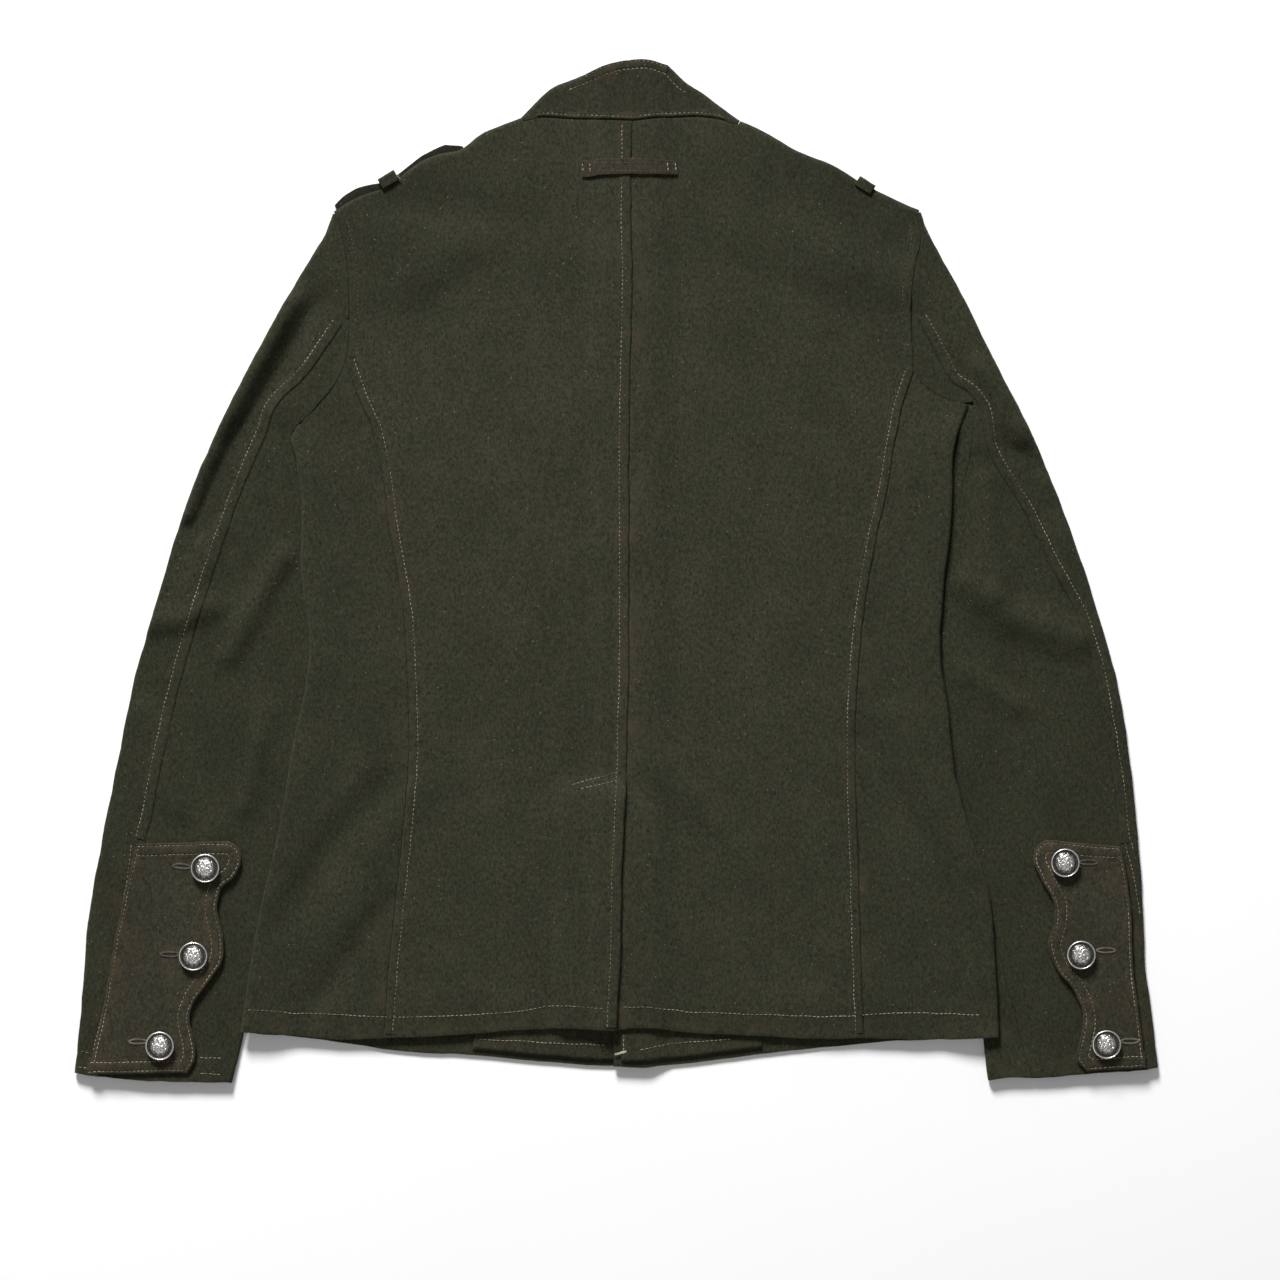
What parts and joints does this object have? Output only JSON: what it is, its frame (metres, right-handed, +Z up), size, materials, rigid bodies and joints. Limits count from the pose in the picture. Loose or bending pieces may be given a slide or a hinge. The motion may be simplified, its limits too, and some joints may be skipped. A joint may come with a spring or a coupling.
{
  "type": "wool military jacket",
  "caption": "Dark wool service jacket with standing collar, scalloped cuff tabs, domed metal buttons and back vent, laid flat with its back up.",
  "frame": {"origin": "centre of the jacket's bounding box, at its bottom, on the surface that the jacket lies on", "axes": "+X to the right across the sleeves as seen from above, +Y from the hem to the collar, +Z up out of the back"},
  "size_m": [0.814, 0.7652, 0.0149],
  "materials": {
    "wool": "matt felted wool, dark olive brown",
    "wool_trim": "matt felted wool, a little browner",
    "button_metal": "worn silver metal"
  },
  "bodies": {
    "root": {"back_left": "wool", "back_right": "wool", "side_left": "wool", "side_right": "wool", "front_left": "wool", "front_right": "wool", "facing_left": "wool", "facing_right": "wool", "collar": "wool", "top_sleeve_left": "wool", "top_sleeve_right": "wool", "under_sleeve_left": "wool", "under_sleeve_right": "wool", "cuff_tab_left": "wool_trim", "cuff_tab_right": "wool_trim", "shoulder_strap_left": "wool_trim", "shoulder_strap_right": "wool_trim", "strap_loop_left": "wool_trim", "strap_loop_right": "wool_trim", "hanger_loop": "wool_trim", "button_left_1": "button_metal", "button_left_2": "button_metal", "button_left_3": "button_metal", "button_right_1": "button_metal", "button_right_2": "button_metal", "button_right_3": "button_metal"}
  },
  "joints": []
}
